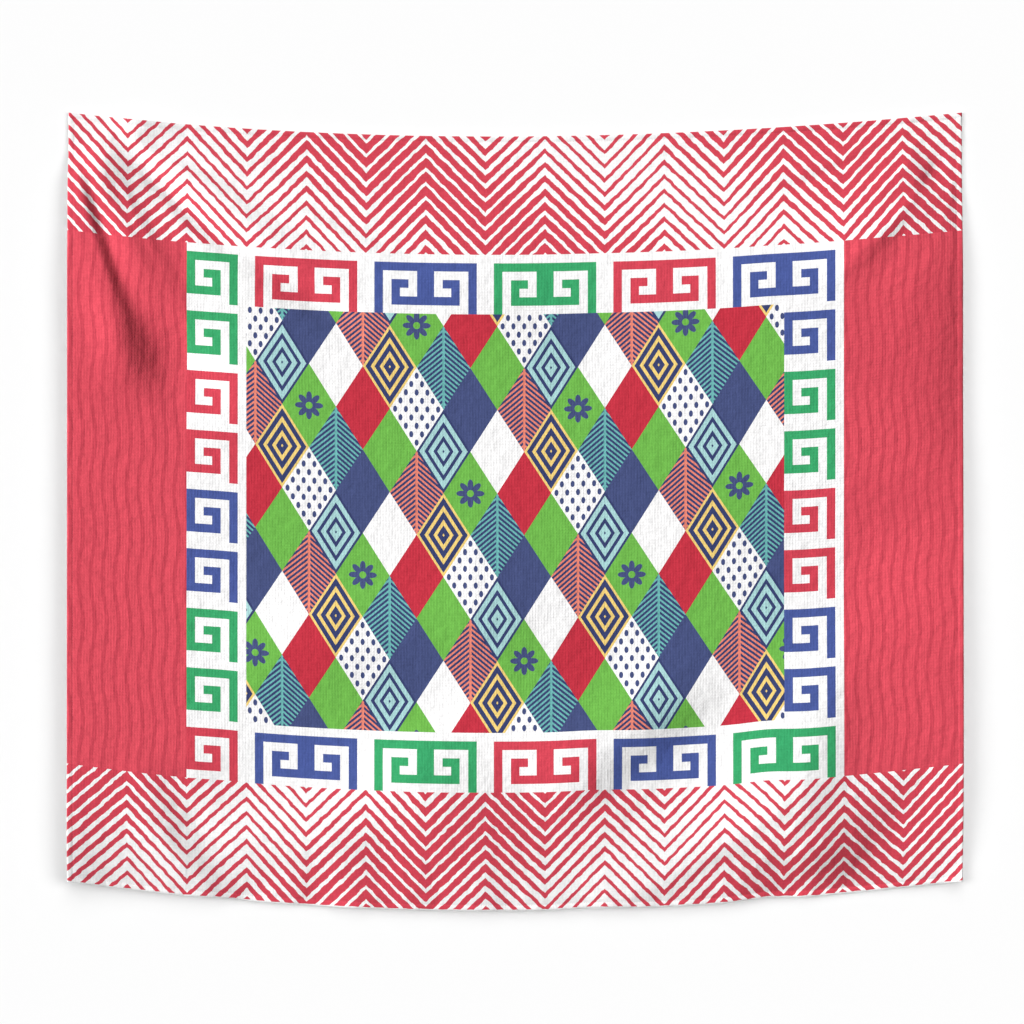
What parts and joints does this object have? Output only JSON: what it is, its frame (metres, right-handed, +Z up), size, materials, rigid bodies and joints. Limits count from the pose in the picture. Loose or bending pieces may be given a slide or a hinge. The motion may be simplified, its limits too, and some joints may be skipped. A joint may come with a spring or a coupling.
{
  "type": "wall tapestry",
  "caption": "Thin printed cloth wall hanging: a hemmed rectangular panel held by its two top corners, with a gentle sag and soft folds that fan from the corners.",
  "frame": {"origin": "middle of the top edge, on the back of the hem, where the hung cloth meets the wall", "axes": "+X along the width to the right as seen from the front, +Y out of the back towards the wall, +Z up"},
  "size_m": [1.4979, 0.0467, 1.3371],
  "materials": {
    "printed_cloth": "matte woven polyester, printed in red, white, navy, green and pale teal on the front, unprinted white on the back"
  },
  "bodies": {
    "root": {"cloth": "printed_cloth"}
  },
  "joints": []
}
